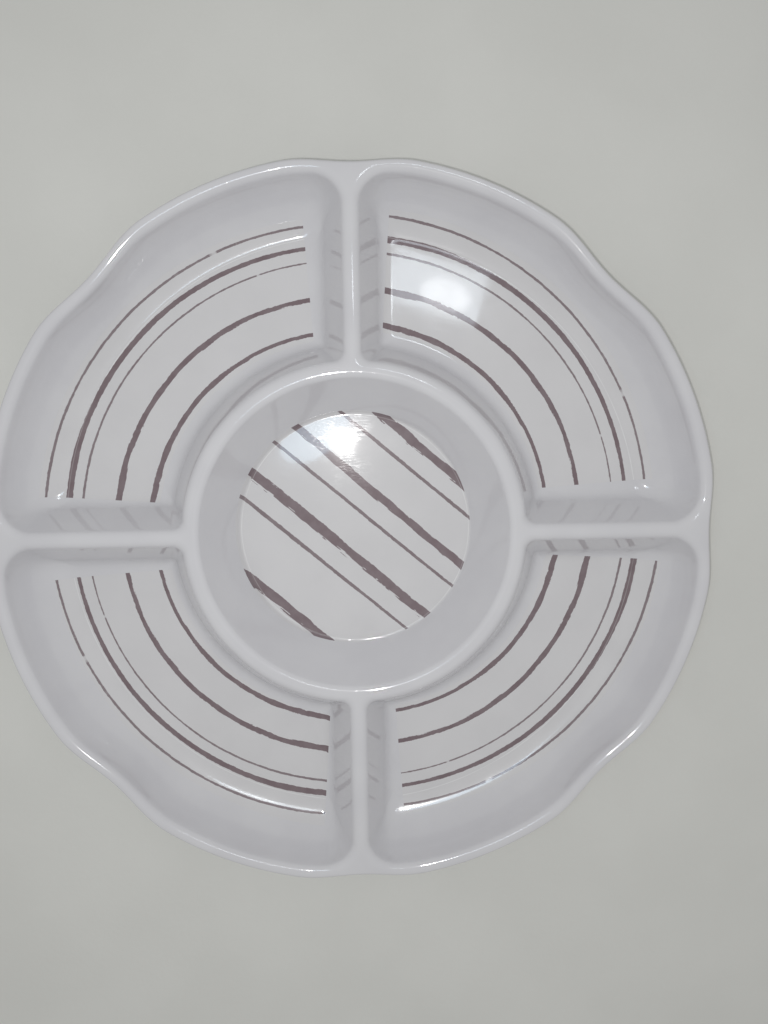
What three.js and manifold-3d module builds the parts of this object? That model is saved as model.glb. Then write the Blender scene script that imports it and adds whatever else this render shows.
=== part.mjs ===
// Round appetizer plate with four outer compartments and a centre bowl.
// A moulded shell of even thickness, with one printed foil set flush in each floor.
// Millimetres, +Z up. The origin is on the table under the plate's centre, and two of the
// four dividers lie along +X and +Y.

import * as THREE from 'three';
import { mergeVertices } from 'three/addons/utils/BufferGeometryUtils.js';
import Module from 'manifold-3d';

const wasm = await Module();
wasm.setup();

// Overall sizes
const plateDiameter = 330; // across the rim's lobes
const plateHeight = 29; // table to the level tops of rim, dividers and ring
const shellThickness = 3; // floors, walls and the web that joins them at the top

// Scalloped rim: deep dips between the dividers, shallow ones at the dividers' ends
const quarterDip = 4.2;
const quarterDipHalfAngle = THREE.MathUtils.degToRad(12);
const dividerDip = 2.9;
const dividerDipHalfAngle = THREE.MathUtils.degToRad(10.5);
const lipCrest = 2; // rim's outer edge to the start of the inner shoulder

// Dividers and the ring round the bowl
const dividerTop = 0.8; // level width left between the two shoulders
const ringDiameter = 147.8; // middle of the ring's top
const ringTop = 1.4;

// Compartment walls: a rounded shoulder at the top, a drafted wall and a rounded foot.
// Slopes are measured from the horizontal.
const shoulderRadius = 4;
const sideSlope = THREE.MathUtils.degToRad(67);
const sideFootRadius = 7.5;
const rimTopSlope = THREE.MathUtils.degToRad(79);
const rimFootSlope = THREE.MathUtils.degToRad(16);
const rimFootRadius = 4;

// Compartment corners, seen from above
const rimCornerTop = 12;
const rimCornerFloor = 4;
const ringCornerTop = 5;
const ringCornerFloor = 2.5;

// Centre bowl
const bowlShoulderRadius = 3.5;
const bowlTopSlope = THREE.MathUtils.degToRad(64);
const bowlFootSlope = THREE.MathUtils.degToRad(54);
const bowlFootRadius = 1.5;

// Printed foils. Each lies a little off its compartment's middle, as such prints do.
const foilThickness = 0.4;
const foilClearance = 0.3;
const foilShiftAround = 2.8; // towards the next compartment, counter-clockwise from above
const foilShiftOut = 2;
const foilInnerOverlap = 1; // up the ring's foot
const foilOuterOverlap = 8.2; // up the rim wall's foot
const foilSideOverlap = 4.1; // up the dividers' feet, at the foil's inner edge
const foilSideFlare = THREE.MathUtils.degToRad(4);
const centreFoilOverlap = 1.6; // past the edge of the bowl's floor
const centreFoilShiftX = -0.9;
const centreFoilShiftY = 0.3;

// Facets
const rimSteps = 112;
const outerArcSteps = 20;
const innerArcSteps = 8;
const rimCornerSteps = 4;
const ringCornerSteps = 2;
const bowlSteps = 56;
const lipSteps = 4;
const compartmentSteps = { shoulder: 3, wall: 3, foot: 2 };
const bowlWallSteps = { shoulder: 3, wall: 2, foot: 1 };
const outsideSteps = { shoulder: 1, wall: 2, foot: 1 };

const compartmentCount = 4;
const quarterTurn = Math.PI / 2;
const rimRadius = plateDiameter / 2;
const ringOuter = (ringDiameter + ringTop) / 2;
const ringInner = (ringDiameter - ringTop) / 2;
const depth = plateHeight - shellThickness;

// A wall from the top edge down to the floor: how far it has run in at each drop.
// The part between shoulder and foot is straight where both slopes are the same,
// and otherwise a hollow arc.
function wallProfile(drop, shoulder, foot, topSlope, footSlope) {
  const shoulderDrop = shoulder * (1 - Math.cos(topSlope));
  const shoulderRun = shoulder * Math.sin(topSlope);
  const footDrop = foot * (1 - Math.cos(footSlope));
  const footRun = foot * Math.sin(footSlope);
  const wallDrop = drop - shoulderDrop - footDrop;
  const straight = topSlope === footSlope;
  const arcRadius = straight ? Infinity : wallDrop / (Math.cos(footSlope) - Math.cos(topSlope));
  const wallRunAt = (fallen) => {
    if (straight) {
      return fallen / Math.tan(topSlope);
    }
    const slope = Math.acos(Math.cos(topSlope) + fallen / arcRadius);
    return arcRadius * (Math.sin(topSlope) - Math.sin(slope));
  };
  const totalRun = shoulderRun + wallRunAt(wallDrop) + footRun;
  const runAt = (fallen) => {
    if (fallen <= shoulderDrop) {
      const left = shoulder - Math.max(fallen, 0);
      return Math.sqrt(Math.max(shoulder * shoulder - left * left, 0));
    }
    if (fallen < drop - footDrop) {
      return shoulderRun + wallRunAt(fallen - shoulderDrop);
    }
    const left = foot - Math.max(drop - fallen, 0);
    return totalRun - Math.sqrt(Math.max(foot * foot - left * left, 0));
  };
  return { runAt, totalRun };
}

// The wall's outer face runs parallel to its inner face, one shell thickness away
function shellProfiles(drop, shoulder, foot, topSlope, footSlope) {
  return {
    inside: wallProfile(drop, shoulder, foot, topSlope, footSlope),
    outside: wallProfile(drop, shoulder - shellThickness, foot + shellThickness, topSlope, footSlope),
  };
}

const sideWall = shellProfiles(depth, shoulderRadius, sideFootRadius, sideSlope, sideSlope);
const rimWall = shellProfiles(depth, shoulderRadius, rimFootRadius, rimTopSlope, rimFootSlope);
const bowlWall = shellProfiles(depth, bowlShoulderRadius, bowlFootRadius, bowlTopSlope, bowlFootSlope);

const floorOuter = rimRadius - lipCrest - rimWall.inside.totalRun;
const floorInner = ringOuter + sideWall.inside.totalRun;
const floorSide = dividerTop / 2 + sideWall.inside.totalRun;
const bowlFloor = ringInner - bowlWall.inside.totalRun;

// Drops at which a wall's outlines are taken: close together round the shoulder and the foot
function wallDrops(steps, drop, shoulder, foot, topSlope, footSlope) {
  const shoulderDrop = shoulder * (1 - Math.cos(topSlope));
  const footDrop = foot * (1 - Math.cos(footSlope));
  const drops = [];
  for (let step = 0; step < steps.shoulder; step += 1) {
    drops.push(shoulder * (1 - Math.cos((topSlope * step) / steps.shoulder)));
  }
  for (let step = 0; step < steps.wall; step += 1) {
    drops.push(THREE.MathUtils.lerp(shoulderDrop, drop - footDrop, step / steps.wall));
  }
  for (let step = steps.foot; step >= 0; step -= 1) {
    drops.push(drop - foot * (1 - Math.cos((footSlope * step) / steps.foot)));
  }
  return drops;
}

// How far the rim is drawn in at an angle
function dipAt(angle) {
  const eighthTurn = quarterTurn / 2;
  const swing = (middle, halfAngle) => {
    const onward = THREE.MathUtils.euclideanModulo(angle - middle + eighthTurn, quarterTurn);
    const share = Math.abs(onward - eighthTurn) / halfAngle;
    return share < 1 ? Math.cos(quarterTurn * share) ** 2 : 0;
  };
  return quarterDip * swing(eighthTurn, quarterDipHalfAngle) + dividerDip * swing(0, dividerDipHalfAngle);
}

// The dips reach full depth at the rim and fade out towards the ring, and towards the floor
function scallop(point, fade) {
  const radius = point.length();
  const reach = THREE.MathUtils.clamp((radius - ringOuter) / (rimRadius - ringOuter), 0, 1);
  return point.clone().setLength(radius - dipAt(point.angle()) * reach * fade);
}

// Points of an arc, both ends included
function arcPoints(centreX, centreY, radius, from, to, steps) {
  const points = [];
  for (let step = 0; step <= steps; step += 1) {
    const angle = THREE.MathUtils.lerp(from, to, step / steps);
    points.push(new THREE.Vector2(centreX + radius * Math.cos(angle), centreY + radius * Math.sin(angle)));
  }
  return points;
}

// A quarter of a ring between two dividers, with rounded corners, counter-clockwise from above
function compartmentOutline(outer, inner, side, rimCorner, ringCorner) {
  const rimOffset = side + rimCorner;
  const rimAlong = Math.sqrt((outer - rimCorner) ** 2 - rimOffset ** 2);
  const rimAngle = Math.atan2(rimOffset, rimAlong);
  const ringOffset = side + ringCorner;
  const ringAlong = Math.sqrt((inner + ringCorner) ** 2 - ringOffset ** 2);
  const ringAngle = Math.atan2(ringOffset, ringAlong);
  const up = quarterTurn;
  const left = 2 * quarterTurn;
  const down = 3 * quarterTurn;
  const right = 4 * quarterTurn;
  return [
    ...arcPoints(0, 0, outer, rimAngle, up - rimAngle, outerArcSteps),
    ...arcPoints(rimOffset, rimAlong, rimCorner, up - rimAngle, left, rimCornerSteps).slice(1),
    ...arcPoints(ringOffset, ringAlong, ringCorner, left, down - ringAngle, ringCornerSteps),
    ...arcPoints(0, 0, inner, up - ringAngle, ringAngle, innerArcSteps).slice(1, -1),
    ...arcPoints(ringAlong, ringOffset, ringCorner, left + ringAngle, down, ringCornerSteps),
    ...arcPoints(rimAlong, rimOffset, rimCorner, down, right + rimAngle, rimCornerSteps).slice(0, -1),
  ];
}

// A closed solid through outlines of equal length, given from the bottom up
function loft(outlines, heights) {
  const count = outlines[0].length;
  const positions = [];
  const indices = [];
  outlines.forEach((outline, level) => {
    outline.forEach((point) => positions.push(point.x, point.y, heights[level]));
  });
  for (let level = 0; level < outlines.length - 1; level += 1) {
    for (let step = 0; step < count; step += 1) {
      const low = level * count + step;
      const lowNext = level * count + ((step + 1) % count);
      indices.push(low, lowNext, lowNext + count, low, lowNext + count, low + count);
    }
  }
  const last = (outlines.length - 1) * count;
  THREE.ShapeUtils.triangulateShape(outlines[0], []).forEach(([a, b, c]) => indices.push(c, b, a));
  THREE.ShapeUtils.triangulateShape(outlines.at(-1), []).forEach(([a, b, c]) => {
    indices.push(last + a, last + b, last + c);
  });
  const geometry = new THREE.BufferGeometry();
  geometry.setAttribute('position', new THREE.Float32BufferAttribute(positions, 3));
  geometry.setIndex(indices);
  return geometry;
}

// A profile of radius and height turned round the Z axis
function turned(points, steps) {
  return new THREE.LatheGeometry(points, steps).rotateX(quarterTurn);
}

// Six times a closed body's volume, below zero where its faces point inwards
function signedVolume(position, triangles) {
  const corners = [new THREE.Vector3(), new THREE.Vector3(), new THREE.Vector3()];
  let sum = 0;
  for (let start = 0; start < triangles.length; start += 3) {
    corners.forEach((corner, offset) => corner.fromBufferAttribute(position, triangles[start + offset]));
    sum += corners[0].dot(corners[1].cross(corners[2]));
  }
  return sum;
}

// Corners closer than this are one corner
const mergeDistance = 1e-4;

// A geometry as a solid that can be joined and cut, with its faces pointing out
function solidOf(geometry) {
  const bare = geometry.clone();
  bare.deleteAttribute('normal');
  bare.deleteAttribute('uv');
  const merged = mergeVertices(bare, mergeDistance);
  const triVerts = Uint32Array.from(merged.index.array);
  if (signedVolume(merged.attributes.position, triVerts) < 0) {
    triVerts.reverse();
  }
  const vertProperties = Float32Array.from(merged.attributes.position.array);
  return new wasm.Manifold(new wasm.Mesh({ numProp: 3, vertProperties, triVerts }));
}

function geometryOf(solid) {
  const mesh = solid.getMesh();
  const geometry = new THREE.BufferGeometry();
  geometry.setAttribute('position', new THREE.Float32BufferAttribute(mesh.vertProperties, 3));
  geometry.setIndex(Array.from(mesh.triVerts));
  geometry.computeVertexNormals();
  return geometry;
}

// Cutters reach this far past the faces that they open
const cutterReach = 2;

// The space inside one outer compartment, up past the plate's top
function compartmentSpace(lowered) {
  const drops = wallDrops(
    compartmentSteps, depth, shoulderRadius, sideFootRadius, sideSlope, sideSlope,
  ).reverse();
  const outlineAt = (drop) => {
    const fallen = drop / depth;
    return compartmentOutline(
      rimRadius - lipCrest - rimWall.inside.runAt(drop),
      ringOuter + sideWall.inside.runAt(drop),
      dividerTop / 2 + sideWall.inside.runAt(drop),
      THREE.MathUtils.lerp(rimCornerTop, rimCornerFloor, fallen),
      THREE.MathUtils.lerp(ringCornerTop, ringCornerFloor, fallen),
    ).map((point) => scallop(point, 1 - fallen));
  };
  const outlines = drops.map(outlineAt);
  const heights = drops.map((drop) => plateHeight - drop - lowered);
  outlines.push(outlineAt(0));
  heights.push(plateHeight + cutterReach);
  return loft(outlines, heights);
}

// The outside of one outer compartment, from the table up into the web
function compartmentShell() {
  const footOutside = sideFootRadius + shellThickness;
  const shoulderOutside = shoulderRadius - shellThickness;
  const drops = wallDrops(
    outsideSteps, depth, shoulderOutside, footOutside, sideSlope, sideSlope,
  ).reverse();
  const outlineAt = (drop) => {
    const fallen = drop / depth;
    return compartmentOutline(
      rimRadius - lipCrest - rimWall.outside.runAt(drop),
      ringOuter + sideWall.outside.runAt(drop),
      dividerTop / 2 + sideWall.outside.runAt(drop),
      THREE.MathUtils.lerp(rimCornerTop, rimCornerFloor + shellThickness, fallen),
      THREE.MathUtils.lerp(ringCornerTop, ringCornerFloor + shellThickness, fallen),
    ).map((point) => scallop(point, 1 - fallen));
  };
  const outlines = drops.map(outlineAt);
  const heights = drops.map((drop) => depth - drop);
  outlines.push(outlineAt(0));
  heights.push(plateHeight - shellThickness / 2);
  return loft(outlines, heights);
}

// The level web at the top, with the scalloped and rounded lip
function rimWeb() {
  const lipRadius = shellThickness / 2;
  const outlines = [];
  const heights = [];
  for (let step = 0; step <= lipSteps; step += 1) {
    const angle = THREE.MathUtils.lerp(-quarterTurn, quarterTurn, step / lipSteps);
    const radius = rimRadius - lipRadius * (1 - Math.cos(angle));
    const circle = arcPoints(0, 0, radius, 0, 4 * quarterTurn, rimSteps).slice(0, -1);
    outlines.push(circle.map((point) => scallop(point, 1)));
    heights.push(plateHeight - lipRadius + lipRadius * Math.sin(angle));
  }
  return loft(outlines, heights);
}

// The space inside the centre bowl
function bowlSpace(lowered) {
  const drops = wallDrops(
    bowlWallSteps, depth, bowlShoulderRadius, bowlFootRadius, bowlTopSlope, bowlFootSlope,
  ).reverse();
  const points = drops.map((drop) => (
    new THREE.Vector2(ringInner - bowlWall.inside.runAt(drop), plateHeight - drop - lowered)
  ));
  points.unshift(new THREE.Vector2(0, shellThickness - lowered));
  points.push(new THREE.Vector2(ringInner, plateHeight + cutterReach));
  points.push(new THREE.Vector2(0, plateHeight + cutterReach));
  return turned(points, bowlSteps);
}

// The outside of the centre bowl
function bowlShell() {
  const footOutside = bowlFootRadius + shellThickness;
  const shoulderOutside = bowlShoulderRadius - shellThickness;
  const drops = wallDrops(
    outsideSteps, depth, shoulderOutside, footOutside, bowlTopSlope, bowlFootSlope,
  ).reverse();
  const points = drops.map((drop) => (
    new THREE.Vector2(ringInner - bowlWall.outside.runAt(drop), depth - drop)
  ));
  const middle = plateHeight - shellThickness / 2;
  points.unshift(new THREE.Vector2(0, 0));
  points.push(new THREE.Vector2(ringInner, middle));
  points.push(new THREE.Vector2(0, middle));
  return turned(points, bowlSteps);
}

// The upright block that an outer foil is trimmed to, or its seat when grown by a clearance
function foilBlock(grown) {
  const inner = floorInner - foilInnerOverlap - grown;
  const outer = floorOuter + foilOuterOverlap + grown;
  const sideAtCentre = floorSide - foilSideOverlap - inner * Math.tan(foilSideFlare)
    - grown / Math.cos(foilSideFlare);
  const edgeAngle = (radius) => (
    foilSideFlare + Math.asin((sideAtCentre * Math.cos(foilSideFlare)) / radius)
  );
  const outline = [
    ...arcPoints(0, 0, outer, edgeAngle(outer), quarterTurn - edgeAngle(outer), outerArcSteps),
    ...arcPoints(0, 0, inner, quarterTurn - edgeAngle(inner), edgeAngle(inner), innerArcSteps),
  ];
  const upright = { depth: plateHeight, bevelEnabled: false };
  const diagonal = Math.SQRT1_2;
  return new THREE.ExtrudeGeometry(new THREE.Shape(outline), upright).translate(
    (foilShiftOut - foilShiftAround) * diagonal,
    (foilShiftOut + foilShiftAround) * diagonal,
    0,
  );
}

// The upright cylinder that the centre foil is trimmed to, or its seat when grown
function centreFoilBlock(grown) {
  const radius = bowlFloor + centreFoilOverlap + grown;
  return new THREE.CylinderGeometry(radius, radius, plateHeight, bowlSteps)
    .rotateX(quarterTurn)
    .translate(centreFoilShiftX, centreFoilShiftY, plateHeight / 2);
}

// A foil follows the floor and the walls' feet, flush with their faces; its seat is cut deeper
const seatDepth = foilThickness + foilClearance;

function outerFoil() {
  const above = solidOf(compartmentSpace(0));
  return solidOf(foilBlock(0)).intersect(solidOf(compartmentSpace(foilThickness))).subtract(above);
}

function centreFoil() {
  const above = solidOf(bowlSpace(0));
  return solidOf(centreFoilBlock(0)).intersect(solidOf(bowlSpace(foilThickness))).subtract(above);
}

// All that is cut out of the body in one outer compartment, turned to its place
function compartmentRoom(turn) {
  const seat = solidOf(foilBlock(foilClearance).rotateZ(turn))
    .intersect(solidOf(compartmentSpace(seatDepth).rotateZ(turn)));
  return solidOf(compartmentSpace(0).rotateZ(turn)).add(seat);
}

function bowlRoom() {
  const seat = solidOf(centreFoilBlock(foilClearance)).intersect(solidOf(bowlSpace(seatDepth)));
  return solidOf(bowlSpace(0)).add(seat);
}

// The web and the outsides of all the compartments joined, then hollowed from above
function plateBody() {
  const turns = Array.from({ length: compartmentCount }, (_, index) => index * quarterTurn);
  let body = solidOf(rimWeb()).add(solidOf(bowlShell()));
  turns.forEach((turn) => {
    body = body.add(solidOf(compartmentShell().rotateZ(turn)));
  });
  turns.forEach((turn) => {
    body = body.subtract(compartmentRoom(turn));
  });
  return body.subtract(bowlRoom());
}

const melamine = new THREE.MeshStandardMaterial({
  name: 'melamine',
  color: 0xe9e7ea,
  roughness: 0.18,
  metalness: 0,
});
const printedFoil = () => new THREE.MeshStandardMaterial({
  name: 'printed_foil',
  color: 0xd8cfd2,
  roughness: 0.2,
  metalness: 0,
});

function piece(name, solid, material) {
  const mesh = new THREE.Mesh(geometryOf(solid), material);
  mesh.name = name;
  return mesh;
}

const plate = new THREE.Group();
plate.name = 'appetizer_plate';
plate.add(piece('plate_body', plateBody(), melamine));
for (let index = 0; index < compartmentCount; index += 1) {
  const foil = piece(`outer_foil_${index + 1}`, outerFoil(), printedFoil());
  foil.rotation.z = index * quarterTurn;
  plate.add(foil);
}
plate.add(piece('centre_foil', centreFoil(), printedFoil()));

export default plate;
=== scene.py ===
import math

import bmesh
import bpy
import numpy as np
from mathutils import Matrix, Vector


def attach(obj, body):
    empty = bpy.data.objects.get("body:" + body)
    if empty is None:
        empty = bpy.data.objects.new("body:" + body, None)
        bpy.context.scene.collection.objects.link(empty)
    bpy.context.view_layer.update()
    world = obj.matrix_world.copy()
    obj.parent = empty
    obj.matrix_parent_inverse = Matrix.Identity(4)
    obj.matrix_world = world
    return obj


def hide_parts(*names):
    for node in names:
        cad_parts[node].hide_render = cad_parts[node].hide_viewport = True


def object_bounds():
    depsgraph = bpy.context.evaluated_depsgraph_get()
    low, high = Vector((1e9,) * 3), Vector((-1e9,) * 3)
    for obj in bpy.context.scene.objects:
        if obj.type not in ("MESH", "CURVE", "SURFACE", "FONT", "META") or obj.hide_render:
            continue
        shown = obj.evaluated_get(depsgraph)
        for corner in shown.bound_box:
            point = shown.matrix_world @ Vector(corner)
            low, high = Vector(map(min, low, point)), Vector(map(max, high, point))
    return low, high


# Appetizer plate: a glossy melamine moulding with a striped foil printed into each of its floors.
# Metres, +Z up; a pattern's pitch is a count per metre. The origin is on the table under the plate's
# centre, and two of the dividers lie along +X and +Y. Outer compartments count counter-clockwise from
# the one between +X and +Y.

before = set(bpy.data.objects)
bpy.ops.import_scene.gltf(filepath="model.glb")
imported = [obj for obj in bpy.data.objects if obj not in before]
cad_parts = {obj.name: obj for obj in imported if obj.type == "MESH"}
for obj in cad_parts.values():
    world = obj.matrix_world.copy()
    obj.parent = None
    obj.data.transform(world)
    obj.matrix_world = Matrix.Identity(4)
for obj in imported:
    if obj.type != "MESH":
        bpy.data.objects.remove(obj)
cad_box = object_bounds()

MM = 0.001
HALF_TURN = math.pi
QUARTER_TURN = HALF_TURN / 2
EIGHTH_TURN = HALF_TURN / 4
COMPARTMENTS = 4

# Moulding
PLATE_HEIGHT = cad_box[1].z
RIM_RADIUS = 165 * MM
SHELL = 3 * MM
DEPTH = PLATE_HEIGHT - SHELL
LIP = SHELL / 2
LIP_CREST = 2 * MM
RING_RADIUS = 73.9 * MM
RING_TOP = 1.4 * MM
RING_OUTER = RING_RADIUS + RING_TOP / 2
RING_INNER = RING_RADIUS - RING_TOP / 2
DIVIDER_SIDE = 0.4 * MM

# Scalloped rim: deep dips between the dividers and shallow ones at their ends
QUARTER_DIP = 4.2 * MM
QUARTER_DIP_HALF_ANGLE = math.radians(12)
DIVIDER_DIP = 2.9 * MM
DIVIDER_DIP_HALF_ANGLE = math.radians(10.5)

# Walls: shoulder radius, foot radius, slope at the top and slope at the foot
SIDE_WALL = (4 * MM, 7.5 * MM, math.radians(67), math.radians(67))
RIM_WALL = (4 * MM, 4 * MM, math.radians(79), math.radians(16))
BOWL_WALL = (3.5 * MM, 1.5 * MM, math.radians(64), math.radians(54))

# Compartment corners seen from above, at the top and at the floor
RIM_CORNER = (12 * MM, 4 * MM)
RING_CORNER = (5 * MM, 2.5 * MM)

# Foils: how far they climb the walls' feet, the bare margin inside the print, how far off the middle
# they lie, how deep and how high they lie on the moulding, and the bend that counts as an edge
FOIL_INNER_OVERLAP = 1.0 * MM
FOIL_INNER_MARGIN = 1.7 * MM
FOIL_OUTER_OVERLAP = 8.2 * MM
FOIL_SIDE_OVERLAP = 4.1 * MM
FOIL_SIDE_FLARE = math.radians(4)
FOIL_SHIFT_AROUND = 2.8 * MM
FOIL_SHIFT_OUT = 2 * MM
CENTRE_FOIL_OVERLAP = 1.6 * MM
CENTRE_FOIL_SHIFT = (-0.9 * MM, 0.3 * MM)
FOIL_SINK = 0.03 * MM
FOIL_LIFT = 0.04 * MM
FOIL_EDGE_ANGLE = EIGHTH_TURN
PRINT_MAP = "print"

# Meshes: their steps, the floors' inner edge, the weld, and how the foils' sheets are divided and laid
RIM_STEPS = 48
CORNER_STEPS = 12
SIDE_STEPS = 12
RING_STEPS = 24
LIP_STEPS = 12
INSIDE_STEPS = (12, 16, 12)
OUTSIDE_STEPS = (3, 8, 6)
FLOOR_INSET = 0.5 * MM
WELD = 0.001 * MM
FOIL_COLUMNS = 128
FOIL_ROWS = 72
DISC_RINGS = 96
DISC_STEPS = 192
EVEN_SHARE = 0.2
SHEET_ABOVE = 10 * MM
RAY_LENGTH = 1.0

# Outer print. Each stripe has its radius, half its width at the clockwise end and at the other end,
# how much it splits into slivers, how far its start is broken, and its ink's density.
ARC_PRINT_CENTRE = (-0.92 * MM, 3.75 * MM)
ARC_PRINT_SHIFTS = ((0.0, 0.0), (0.5 * MM, 0.2 * MM), (3.0 * MM, -2.35 * MM), (-0.35 * MM, 1.2 * MM))
ARC_PRINT_LENGTH = 160 * MM
ARC_STRIPES = (
    (93.55 * MM, 0.82 * MM, 1.33 * MM, 1.5, 0.1 * MM, 1.0),
    (109.67 * MM, 0.92 * MM, 1.5 * MM, 1.2, 0.1 * MM, 1.0),
    (126.27 * MM, 0.32 * MM, 0.55 * MM, 0.6, 50 * MM, 0.91),
    (132.87 * MM, 0.85 * MM, 1.5 * MM, 0.3, 0.1 * MM, 1.0),
    (142.3 * MM, 0.46 * MM, 0.48 * MM, 0.6, 60 * MM, 0.91),
)

# Centre print: straight stripes, with their offset from its middle in place of the radius.
# Thick and thin ones have slightly different slants.
DISC_PRINT_SLOPE = math.radians(-40.6)
DISC_PRINT_LENGTH = 113 * MM
DISC_STRIPES = (
    (-50.8 * MM, 2.0 * MM, 2.4 * MM, 1.7, 0.1 * MM, 0.965),
    (-22.2 * MM, 0.98 * MM, 0.68 * MM, 0.6, 0.1 * MM, 0.91),
    (-10.35 * MM, 2.35 * MM, 2.1 * MM, 1.7, 0.1 * MM, 0.965),
    (8.15 * MM, 0.75 * MM, 0.75 * MM, 0.6, 0.1 * MM, 0.91),
    (19.55 * MM, 1.9 * MM, 1.8 * MM, 1.7, 0.1 * MM, 0.965),
    (39.2 * MM, 0.8 * MM, 0.78 * MM, 0.6, 0.1 * MM, 0.91),
    (50.3 * MM, 2.0 * MM, 2.4 * MM, 1.7, 0.1 * MM, 0.965),
)
THICK_SLANT = -0.005
THIN_SLANT = 0.0072
THIN_HALF_WIDTH = 1.1 * MM

# Gloss: its roughness where polished and where scratched, and a thin haze of wear over it
MELAMINE_IOR = 1.65
GLOSS_ROUGHNESS = (0.044, 0.12)
HAZE_WEIGHT = 0.15
HAZE_ROUGHNESS = 0.22
BUMP_DISTANCE = 1 * MM
SCRATCH_TURNS = (0.3, 1.35, 2.4)

# Colours. The painted highlight along a floor's crease is fainter where it crosses ink.
MELAMINE_TINTS = ((0.697, 0.692, 0.708, 1.0), (0.668, 0.662, 0.682, 1.0))
FOIL_TINTS = ((0.703, 0.694, 0.699, 1.0), (0.676, 0.667, 0.673, 1.0))
# Painted highlight: the pale colour painted along the floors' creases
CREASE_HIGHLIGHT_TINT = (0.86, 0.86, 0.86, 1.0)
CREASE_HIGHLIGHT_ON_INK = 0.3
INK_TINTS = ((0.178, 0.126, 0.140, 1.0), (0.213, 0.162, 0.176, 1.0))
INK_CLOUD_PITCH = 160.0

# Shader nodes: the part of the noise's range that a cloud spreads out, and a Mix node's colour sockets
CLOUD_NOISE = (0.3, 0.7)
MIX_SHARE, MIX_FIRST, MIX_SECOND, MIX_RESULT = 0, 6, 7, 2

# Table top
TABLE_SIZE = 8.0
TABLE_GAP = 0.2 * MM
TABLE_TINTS = ((0.76, 0.76, 0.72, 1.0), (0.73, 0.73, 0.69, 1.0))
TABLE_ROUGHNESS = 0.7
TABLE_CLOUD_PITCH = 14.0
TABLE_GRAIN_PITCH = 260.0
TABLE_GRAIN_STRENGTH = 0.25
TABLE_GRAIN_DISTANCE = 0.5 * MM

# Lamp beside the camera, and the cool glow round it: size and power of ellipses inside each other
CAMERA_LAMP_SIZE = (0.006, 0.006)
CAMERA_LAMP_POWER = 0.385
CAMERA_LAMP_COLOUR = (1.0, 0.98, 0.97)
CAMERA_LAMP_PLACE = (-0.0125, 0.0355, 0.385)
GLOWS = (
    ((0.078, 0.044), 0.03),
    ((0.064, 0.034), 0.022),
    ((0.05, 0.025), 0.013),
    ((0.036, 0.016), 0.006),
)
GLOW_COLOUR = (0.6, 0.82, 1.0)
GLOW_PLACE = (-0.0395, 0.045, 0.386)
GLOW_TURN = math.radians(36)

# Softbox, and the brighter ellipses in its middle
SOFTBOX_SIZE = (0.17, 0.09)
SOFTBOX_POWER = 0.203
SOFTBOX_COLOUR = (0.81, 0.915, 1.0)
SOFTBOX_PLACE = (0.143, 0.294, 1.0)
SOFTBOX_CORES = (((0.09, 0.052), 0.045), ((0.074, 0.04), 0.042), ((0.058, 0.028), 0.036))
SOFTBOX_CORE_COLOUR = (0.97, 0.985, 1.0)
SOFTBOX_CORE_PLACE = (0.159, 0.277, 0.99)
SOFTBOX_TURN = math.radians(-17)

# Light from all round, and the backdrop that is seen and reflected in its place
WORLD_COLOUR = (1.0, 1.0, 1.0, 1.0)
WORLD_STRENGTH = 0.45
BACKDROP_COLOUR = (0.98, 0.98, 0.95, 1.0)
BACKDROP_STRENGTH = 0.6

# Camera, fitted to the photograph: nearly square above the plate. Its turn is in degrees, its lens in
# millimetres.
CAMERA_PLACE = (1.38 * MM, 47.22 * MM, 372.27 * MM)
CAMERA_TURN = (-6.07, -2.013, -0.771)
CAMERA_LENS = 27.035
CAMERA_NEAR = 0.01


def wall_run(shoulder, foot, top_slope, foot_slope):
    """How far a wall has run in, as a function of how far it has fallen from its top edge."""
    shoulder_drop = shoulder * (1 - math.cos(top_slope))
    shoulder_run = shoulder * math.sin(top_slope)
    foot_drop = foot * (1 - math.cos(foot_slope))
    foot_run = foot * math.sin(foot_slope)
    wall_drop = DEPTH - shoulder_drop - foot_drop

    def middle(fallen):
        if top_slope == foot_slope:
            return fallen / math.tan(top_slope)
        radius = wall_drop / (math.cos(foot_slope) - math.cos(top_slope))
        slope = math.acos(math.cos(top_slope) + fallen / radius)
        return radius * (math.sin(top_slope) - math.sin(slope))

    total = shoulder_run + middle(wall_drop) + foot_run

    def run(fallen):
        if fallen <= shoulder_drop:
            return math.sqrt(max(shoulder ** 2 - (shoulder - fallen) ** 2, 0))
        if fallen < DEPTH - foot_drop:
            return shoulder_run + middle(fallen - shoulder_drop)
        left = foot - max(DEPTH - fallen, 0)
        return total - math.sqrt(max(foot ** 2 - left ** 2, 0))

    return run


def wall_levels(shoulder, foot, top_slope, foot_slope, steps):
    """Drops at which a wall is drawn, close together round the shoulder and the foot."""
    shoulder_steps, wall_steps, foot_steps = steps
    over = shoulder * (1 - np.cos(np.linspace(0, top_slope, shoulder_steps + 1)))
    under = DEPTH - foot * (1 - np.cos(np.linspace(foot_slope, 0, foot_steps + 1)))
    between = np.linspace(over[-1], under[0], wall_steps + 1)
    return np.concatenate([over, between[1:-1], under])


def outer_face(wall):
    """The same wall's outside, one shell thickness away."""
    shoulder, foot, top_slope, foot_slope = wall
    return shoulder - SHELL, foot + SHELL, top_slope, foot_slope


FLOOR_OUTER = RIM_RADIUS - LIP_CREST - wall_run(*RIM_WALL)(DEPTH)
FLOOR_INNER = RING_OUTER + wall_run(*SIDE_WALL)(DEPTH)
FLOOR_SIDE = DIVIDER_SIDE + wall_run(*SIDE_WALL)(DEPTH)
BOWL_FLOOR = RING_INNER - wall_run(*BOWL_WALL)(DEPTH)


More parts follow.
